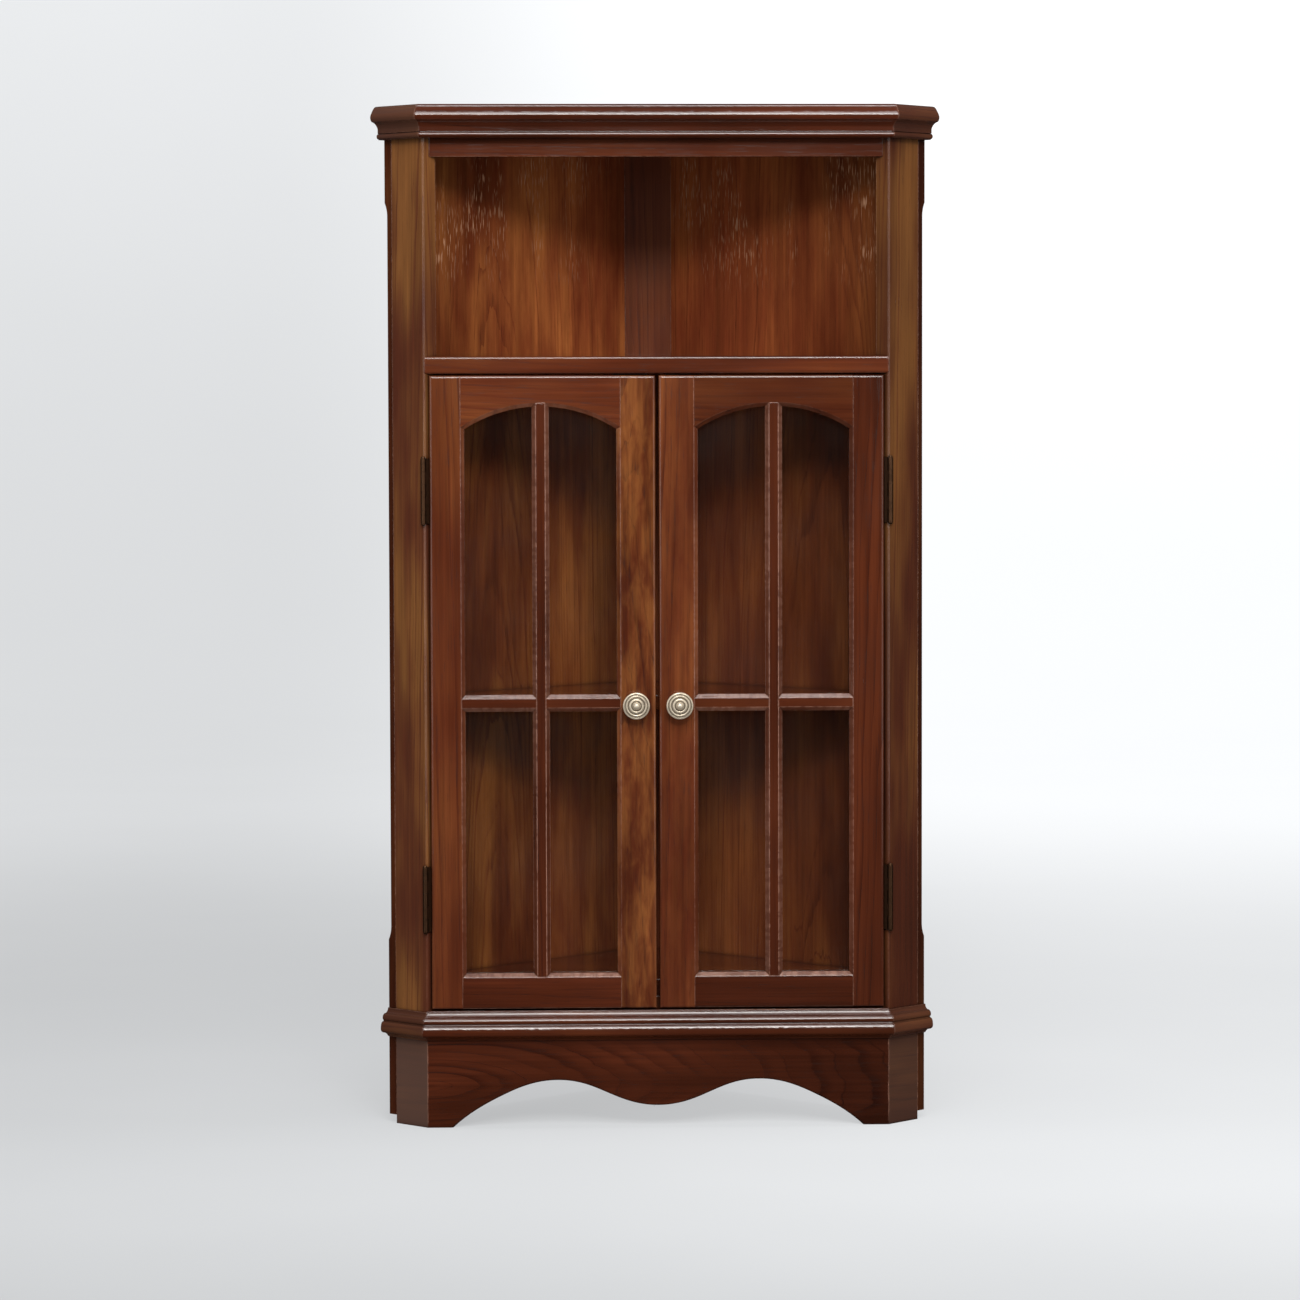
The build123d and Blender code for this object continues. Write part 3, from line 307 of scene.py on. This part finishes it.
    height = t.math("MULTIPLY", pores, -0.45)
    height = t.math("SUBTRACT", height, t.math("MULTIPLY", early, 0.05))
    height = t.math("ADD", height, t.math("MULTIPLY", fibre, 0.35))
    height = t.math("MULTIPLY", height, given["Relief"])
    bump = t.node(
        "ShaderNodeBump",
        {"Strength": 0.5, "Distance": GRAIN_RELIEF, "Height": height, "Normal": soft},
    )
    out = t.node("NodeGroupOutput")
    t.put(out.inputs["Color"], colour)
    t.put(out.inputs["Roughness"], rough)
    t.put(out.inputs["Normal"], bump.outputs[0])
    return group


WOOD = wood_group()


def output(t, shader):
    out = t.node("ShaderNodeOutputMaterial")
    t.put(out.inputs["Surface"], shader.outputs[0])


def surface(t, colour, roughness, normal, **constants):
    """An opaque surface; its constants sit on the shader's own sockets."""
    shader = t.node("ShaderNodeBsdfPrincipled")
    t.put(shader.inputs["Base Color"], colour)
    t.put(shader.inputs["Roughness"], roughness)
    t.put(shader.inputs["Normal"], normal)
    for name, value in constants.items():
        shader.inputs[name].default_value = value
    output(t, shader)


def new_material(name):
    material = bpy.data.materials.new(name)
    material.use_nodes = True
    material.node_tree.nodes.clear()
    return material, Tree(material.node_tree)


def wood_material(name, grain, offset, **figure):
    material, t = new_material(name)
    across, normal, along = grain
    wood = t.node("ShaderNodeGroup", node_tree=WOOD)
    figure.update(across=across, normal=normal, along=along, offset=offset)
    for key, value in figure.items():
        wood.inputs[key.replace("_", " ").title()].default_value = value
    colour, roughness, normal = (wood.outputs[key] for key in ("Color", "Roughness", "Normal"))
    surface(t, colour, roughness, normal, IOR=LACQUER_IOR)
    return material


X, Y, Z = (1, 0, 0), (0, 1, 0), (0, 0, 1)
NE = (1 / ROOT2, 1 / ROOT2, 0)
NW = (-1 / ROOT2, 1 / ROOT2, 0)
UPRIGHT = (X, Y, Z)  # across, through and along the grain
RAIL = (Z, Y, X)
FLAT = (Y, Z, X)
POST_RIGHT = (NE, NW, Z)
POST_LEFT = (NW, NE, Z)
WALL_RIGHT = (NW, NE, Z)
WALL_LEFT = (NE, NW, Z)
RETURN_RIGHT = (Z, NW, NE)
RETURN_LEFT = (Z, NE, NW)


def paint(name, material):
    """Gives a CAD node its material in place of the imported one."""
    piece = nodes[name]
    if not piece.material_slots:
        piece.data.materials.append(material)
    for place in piece.material_slots:
        place.link = "OBJECT"
        place.material = material


def wood(name, grain, shift, **figure):
    """Wood for one CAD node. The shift moves the pith from the middle of the piece, in metres."""
    low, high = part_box(name)
    middle = (low + high) / 2
    offset = [moved - middle.dot(Vector(axis)) for moved, axis in zip(shift, grain)]
    paint(name, wood_material("wood_" + name, grain, offset, **figure))


# the pale edges and bevels set for each piece below are painted highlight, with some lacquer wear
wood("cornice_front", RAIL, (0.06, 0.0, 0.31), gold=0.0, tone=0.42, edge_rub=0.3, relief=0.4)
wood("cornice_left", RETURN_LEFT, (0.06, 0.0, 0.7), tone=0.50, gold=0.6, grey=0.35)
wood("cornice_right", RETURN_RIGHT, (0.05, 0.0, 0.2), tone=0.50, gold=0.7, grey=0.2)
wood("frieze_rail", RAIL, (0.07, 0.0, 0.12), gold=0.1, tone=0.54, relief=0.6)
wood("top_board", FLAT, (0.05, 0.0, 0.4), pith_depth=0.07, tone=0.9)
wood("left_post", POST_LEFT, (0.07, 0.0, 0.1), gold=1.6, tone=0.72, grey=0.12, contrast=0.2,
     edge_rub=1.8)
wood("right_post", POST_RIGHT, (-0.07, 0.0, 0.5), gold=1.1, tone=0.52, grey=0.08, contrast=0.2,
     edge_rub=1.8)
wood("left_wall_panel", WALL_LEFT, (0.03, 0.0, 0.1), pith_depth=0.06, taper=0.05, wander=0.04,
     gold=0.6, glint=1.0, curl=0.25, tone=0.94, contrast=0.45, front_tone=0.45, deep_tone=1.9)
wood("right_wall_panel", WALL_RIGHT, (0.05, 0.0, 0.4), pith_depth=0.08, taper=0.05, wander=0.04,
     gold=0.35, glint=1.0, curl=0.15, tone=0.74, contrast=0.45, front_tone=0.40, deep_tone=2.3)
wood("corner_panel", UPRIGHT, (0.06, 0.0, -0.4), tone=1.1, grey=0.15, edge_rub=2.4)
wood("fixed_shelf", FLAT, (0.1, 0.0, 0.1), gold=0.2, wander=0.03, tone=0.76)
wood("inner_shelf", FLAT, (0.05, 0.0, 0.6), gold=0.2, wander=0.03)
wood("bottom_panel", FLAT, (0.02, 0.0, 0.3), gold=0.2, wander=0.03)
wood("sill_rail", RAIL, (0.06, 0.0, 0.42), tone=0.7)
wood("floor_cleat", RAIL, (0.05, 0.0, 0.9), tone=0.9)
wood("base_moulding_front", RAIL, (0.06, 0.0, 0.7), gold=0.1, tone=0.44, right_tone=0.8,
     edge_rub=0.12, relief=0.3)
wood("base_moulding_left", RETURN_LEFT, (0.05, 0.0, 0.3), tone=0.46, gold=0.6, grey=0.2)
wood("base_moulding_right", RETURN_RIGHT, (0.05, 0.0, 0.9), tone=0.5, gold=0.5, grey=0.2)
wood("front_apron", RAIL, (0.004, 0.0, 0.285), pith_depth=0.004, taper=0.24, wander=0.05,
     ring_width=0.0075, gold=0.0, tone=0.45, contrast=0.7, right_tone=0.56)
wood("left_foot_board", RETURN_LEFT, (0.05, 0.0, 0.2), tone=0.75, gold=0.5, grey=0.75)
wood("right_foot_board", RETURN_RIGHT, (0.06, 0.0, 0.6), tone=0.34, gold=0.5, grey=0.36)
wood("corner_blocks", UPRIGHT, (0.06, 0.0, 0.2), tone=1.1)
wood("left_hinge_stile", UPRIGHT, (0.065, 0.0, 0.2), ring_width=0.0066, gold=0.35,
     tone=0.72, contrast=0.5, bevel_rub=0.1, edge_rub=1.0)
wood("right_hinge_stile", UPRIGHT, (-0.07, 0.0, 0.8), ring_width=0.0066, gold=0.05,
     tone=0.48, contrast=0.5, bevel_rub=0.1, edge_rub=1.0)
wood("left_lock_stile", UPRIGHT, (0.012, 0.0, 0.55), pith_depth=0.03, taper=0.06, wander=0.04,
     gold=0.25, curl=0.9, tone=0.84, contrast=0.5, bevel_rub=0.15, edge_rub=1.0)
wood("right_lock_stile", UPRIGHT, (-0.06, 0.0, 0.3), ring_width=0.0066, gold=0.25, curl=0.25,
     tone=0.82, contrast=0.5, bevel_rub=0.15, edge_rub=1.0)
for side, shift, top_tone, foot_tone in (("left", 0.3, 0.86, 0.48), ("right", 0.75, 0.54, 0.36)):
    wood(f"{side}_top_rail", RAIL, (0.05, 0.0, shift), wander=0.03, gold=0.35, tone=top_tone,
         contrast=0.5, bevel_rub=0.2, edge_rub=0.3)
    wood(f"{side}_bottom_rail", RAIL, (0.06, 0.0, shift + 0.2), gold=0.0, tone=foot_tone,
         bevel_rub=0.5, edge_rub=0.8)
    wood(f"{side}_upright_bar", UPRIGHT, (0.06, 0.0, shift), gold=0.05, tone=0.44,
         bevel_rub=0.2, edge_rub=3.6)
    wood(f"{side}_outer_cross_bar", RAIL, (0.05, 0.0, shift + 0.1), gold=0.1, tone=0.52,
         bevel_rub=0.3, edge_rub=1.6)
    wood(f"{side}_inner_cross_bar", RAIL, (0.06, 0.0, shift + 0.4), gold=0.1, tone=0.52,
         bevel_rub=0.3, edge_rub=1.6)
    wood(f"{side}_glass_beads", UPRIGHT, (0.1, 0.0, shift), tone=0.85)

# ---------------------------------------------------------------- metals, plastic and glass


METAL_EDGE = 0.00045
METAL_RELIEF = 0.00008
SPECKLE = 900.0  # mottling of metal, and specks of dust, per metre
PLASTIC_RELIEF = 0.0001


def metal_material(name, worn, dark, roughness, grime_reach, metallic=1.0):
    """Old metal: dark in the hollows, brighter on the rubbed edges, finely mottled."""
    material, t = new_material(name)
    place = t.node("ShaderNodeTexCoord").outputs["Object"]
    mottle = t.noise(place, scale=SPECKLE, detail=3.0, roughness=0.6)
    patch = t.noise(place, scale=SPECKLE / 7, detail=2.0)
    open_sky = t.node("ShaderNodeAmbientOcclusion", {"Distance": grime_reach}, samples=8)
    hollow = t.stretch(open_sky.outputs["AO"], 0.45, 0.95, 1.0, 0.0)
    soft = t.node("ShaderNodeBevel", {"Radius": METAL_EDGE}, samples=4).outputs[0]
    flat = t.node("ShaderNodeNewGeometry").outputs["Normal"]
    rub = t.stretch(t.math("SUBTRACT", 1.0, t.dot(soft, flat)), 0.01, 0.18)
    grime = t.math("MAXIMUM", hollow, t.stretch(patch, 0.5, 0.72, 0.0, 0.45))
    grime = t.math("MULTIPLY", grime, t.stretch(mottle, 0.3, 0.6, 0.75, 1.0))
    grime = t.math("SUBTRACT", grime, t.math("MULTIPLY", rub, 0.6), clamp=True)
    colour = t.mix(grime, worn, dark)
    rough = t.stretch(mottle, 0.3, 0.7, roughness - 0.06, roughness + 0.08)
    rough = t.math("ADD", rough, t.math("MULTIPLY", grime, 0.22))
    bump = t.node(
        "ShaderNodeBump",
        {"Strength": 0.25, "Distance": METAL_RELIEF, "Height": mottle, "Normal": soft},
    )
    surface(t, colour, rough, bump.outputs[0], Metallic=metallic)
    return material


def plastic_material():
    """Moulded plastic with a fine spark-eroded grain."""
    material, t = new_material("catch_plastic")
    place = t.node("ShaderNodeTexCoord").outputs["Object"]
    grain = t.noise(place, scale=2600.0, detail=2.0)
    patch = t.noise(place, scale=90.0, detail=2.0)
    colour = t.mix(t.stretch(patch, 0.3, 0.7), rgb(0.030, 0.016, 0.011), rgb(0.050, 0.027, 0.018))
    bump = t.node("ShaderNodeBump", {"Strength": 0.3, "Distance": PLASTIC_RELIEF, "Height": grain})
    surface(t, colour, t.stretch(grain, 0.3, 0.7, 0.42, 0.58), bump.outputs[0])
    return material


def glass_material():
    """Clear float glass with a faint film of dust and wiping marks."""
    material, t = new_material("float_glass")
    place = t.node("ShaderNodeTexCoord").outputs["Object"]
    film = t.noise(place, scale=6.0, detail=5.0, roughness=0.65)
    speck = t.noise(place, scale=SPECKLE, detail=1.0)
    clear = t.node("ShaderNodeBsdfTransparent", {"Color": rgb(0.945, 0.950, 0.930)})
    mirror = t.node("ShaderNodeBsdfGlossy", {"Color": rgb(0.75, 0.75, 0.75)})
    t.put(mirror.inputs["Roughness"], t.stretch(film, 0.3, 0.7, 0.02, 0.07))
    dust = t.node("ShaderNodeBsdfDiffuse", {"Color": rgb(0.62, 0.60, 0.57)})
    # the share of mirror grows with the slant alike on both faces of the sheet
    slant = t.node("ShaderNodeLayerWeight", {"Blend": 0.5}).outputs["Facing"]
    mirror_share = t.math("MULTIPLY", t.math("POWER", slant, 5.0), 0.6)
    mirror_share = t.math("ADD", mirror_share, 0.035)
    glass = t.node(
        "ShaderNodeMixShader", {0: mirror_share, 1: clear.outputs[0], 2: mirror.outputs[0]}
    )
    haze = t.stretch(film, 0.35, 0.8, 0.001, 0.006)
    haze = t.math("ADD", haze, t.math("MULTIPLY", t.stretch(speck, 0.74, 0.82), 0.03))
    output(t, t.node("ShaderNodeMixShader", {0: haze, 1: glass.outputs[0], 2: dust.outputs[0]}))
    return material


BRASS = metal_material(
    "antique_brass", rgb(0.70, 0.60, 0.46), rgb(0.085, 0.058, 0.036), 0.36, 0.0021, metallic=0.6
)
BRONZE = metal_material(
    "dark_bronze", rgb(0.105, 0.052, 0.028), rgb(0.014, 0.009, 0.006), 0.40, 0.0016
)
ZINC = metal_material("zinc_steel", rgb(0.60, 0.55, 0.43), rgb(0.16, 0.13, 0.09), 0.34, 0.0012)
STEEL = metal_material("plain_steel", rgb(0.56, 0.56, 0.56), rgb(0.20, 0.19, 0.18), 0.30, 0.0012)
PLASTIC = plastic_material()
GLASS = glass_material()

for side in ("left", "right"):
    paint(f"{side}_glass", GLASS)
    paint(f"{side}_knob", BRASS)
    paint(f"{side}_knob_screw", ZINC)
    paint(f"{side}_catch_plate", STEEL)
    paint(f"{side}_door_leaves", BRONZE)
    paint(f"{side}_frame_leaves", BRONZE)
    paint(f"{side}_hinge_pins", BRONZE)
    paint(f"{side}_door_leaf_screws", BRONZE)
paint("frame_leaf_screws", BRONZE)
paint("catch_housings", PLASTIC)
paint("catch_screws", ZINC)
paint("shelf_pins", STEEL)

# ---------------------------------------------------------------- floor, backdrop, light, camera


PAPER_GLARE_CUT = 0.96  # how much of the paper is left out of what shiny things mirror
GLOW_SHARE_ON_WOOD = 0.5
NEAR_GLOW, FAR_GLOW = 0.525, 0.76
NEAR_TO_FAR = (0.9, 4.4)  # from the middle of the floor
WALL_GAIN = 1.26
UP_THE_WALL = (0.2, 3.0)  # Z
NEAREST_GLOW = 0.60
IN_FRONT = (-1.7, -0.5)  # Y
LEFT_GLOW, RIGHT_GLOW = 0.84, 1.20
LEFT_TO_RIGHT = (-0.9, 0.9)  # X

FLOOR_RADIUS = 6.2
COVE_RADIUS = 1.8
COVE_STEPS = 16
WALL_TOP = 7.0
BOWL_SIDES = 96


def studio_bowl():
    """Round pale floor that curves up into a wall on every side, for the same backdrop all round."""
    profile = [(0.001, 0.0), (2.0, 0.0), (4.0, 0.0), (FLOOR_RADIUS, 0.0)]
    for step in range(1, COVE_STEPS + 1):
        angle = math.pi / 2 * step / COVE_STEPS
        radius = FLOOR_RADIUS + COVE_RADIUS * math.sin(angle)
        profile.append((radius, COVE_RADIUS - COVE_RADIUS * math.cos(angle)))
    profile.append((FLOOR_RADIUS + COVE_RADIUS, WALL_TOP))
    points, faces = [], []
    for turn in range(BOWL_SIDES):
        angle = 2 * math.pi * turn / BOWL_SIDES
        points += [(r * math.sin(angle), r * math.cos(angle), z) for r, z in profile]
    count = len(profile)
    for turn in range(BOWL_SIDES):
        here, there = turn * count, (turn + 1) % BOWL_SIDES * count
        faces += [(here + i, there + i, there + i + 1, here + i + 1) for i in range(count - 1)]
    mesh = bpy.data.meshes.new("studio_bowl")
    mesh.from_pydata(points, [], faces)
    for polygon in mesh.polygons:
        polygon.use_smooth = True
    bowl = bpy.data.objects.new("studio_bowl", mesh)
    bpy.context.scene.collection.objects.link(bowl)
    material, t = new_material("studio_paper")
    place = t.node("ShaderNodeTexCoord").outputs["Object"]
    tooth = t.noise(place, scale=2.0, detail=2.0)
    colour = t.mix(t.stretch(tooth, 0.3, 0.7), rgb(0.195, 0.20, 0.205), rgb(0.205, 0.21, 0.215))
    # the paper glows a little above the floor, and shows only weakly in the polished wood, as it
    # does through a polarising filter
    in_gloss = t.node("ShaderNodeLightPath").outputs["Is Glossy Ray"]
    glare_cut = t.math("MULTIPLY", in_gloss, PAPER_GLARE_CUT)
    colour = t.mix(glare_cut, colour, rgb(0, 0, 0))
    spot = t.split(place)
    reach = t.node("ShaderNodeVectorMath", {0: place}, operation="LENGTH").outputs["Value"]
    seen = t.node("ShaderNodeLightPath").outputs["Is Camera Ray"]
    glow = t.stretch(reach, *NEAR_TO_FAR, NEAR_GLOW, FAR_GLOW)
    for share in (
        t.stretch(spot[2], *UP_THE_WALL, 1.0, WALL_GAIN),
        t.stretch(spot[1], *IN_FRONT, NEAREST_GLOW, 1.0),
        t.stretch(spot[0], *LEFT_TO_RIGHT, LEFT_GLOW, RIGHT_GLOW),
        t.stretch(seen, 0.0, 1.0, GLOW_SHARE_ON_WOOD, 1.0, smooth=False),
        t.math("SUBTRACT", 1.0, glare_cut),
    ):
        glow = t.math("MULTIPLY", glow, share)
    paper = t.node("ShaderNodeBsdfDiffuse", {"Color": colour})
    light = t.node("ShaderNodeEmission", {"Color": rgb(0.97, 0.985, 1.0), "Strength": glow})
    output(t, t.node("ShaderNodeAddShader", {0: paper.outputs[0], 1: light.outputs[0]}))
    material.cycles.emission_sampling = "NONE"
    mesh.materials.append(material)


def area_light(name, at, to, size, power, colour=(1, 1, 1)):
    """Rectangular lamp that no camera sees; metres and watts."""
    data = bpy.data.lights.new(name, "AREA")
    data.shape = "RECTANGLE"
    data.size, data.size_y = size
    data.energy = power
    data.color = colour
    lamp = bpy.data.objects.new(name, data)
    bpy.context.scene.collection.objects.link(lamp)
    lamp.location = at
    lamp.rotation_euler = (Vector(to) - Vector(at)).to_track_quat("-Z", "Y").to_euler()
    lamp.visible_camera = False


studio_bowl()
area_light("front", (0.3, -5.3, 3.1), (0.0, 0.0, 0.5), (1.6, 0.9), 112.0, (1.0, 0.98, 0.94))
area_light("key", (2.35, -2.35, 1.3), (0.0, -0.1, 0.75), (1.5, 2.6), 22.0, (1.0, 0.985, 0.96))
area_light("fill", (-2.45, -2.3, 1.3), (0.0, -0.1, 0.75), (1.5, 2.4), 24.0, (0.96, 0.98, 1.0))
area_light("top", (0.0, -2.75, 2.85), (0.0, -1.2, 0.0), (2.2, 2.1), 88.0)
area_light("overhead", (0.0, -0.16, 2.9), (0.0, -0.16, 0.0), (2.2, 0.34), 22.0)

AIR_LIGHT = 0.10
world = bpy.data.worlds.new("studio_air")
world.use_nodes = True
background = world.node_tree.nodes["Background"]
background.inputs["Color"].default_value = rgb(0.92, 0.95, 1.0)
background.inputs["Strength"].default_value = AIR_LIGHT
bpy.context.scene.world = world
bpy.context.scene.view_settings.view_transform = "Standard"

CAMERA_SIDE = -0.18
CAMERA_DISTANCE = 5.24
CAMERA_HEIGHT = 0.848
CAMERA_TARGET = Vector((-0.0089, FRONT_Y, 0.5629))
CAMERA_ROLL = math.radians(0.148)
SENSOR_MM = 36.0
LENS_MM = 123.87
camera_data = bpy.data.cameras.new("view")
camera_data.sensor_width = SENSOR_MM
camera_data.lens = LENS_MM
camera = bpy.data.objects.new("view", camera_data)
bpy.context.scene.collection.objects.link(camera)
camera.location = (CAMERA_SIDE, FRONT_Y - CAMERA_DISTANCE, CAMERA_HEIGHT)
level = (CAMERA_TARGET - camera.location).to_track_quat("-Z", "Y")
camera.rotation_mode = "QUATERNION"
camera.rotation_quaternion = level @ Quaternion((0, 0, 1), -CAMERA_ROLL)
camera_data.clip_start, camera_data.clip_end = 0.1, 60.0
bpy.context.scene.camera = camera
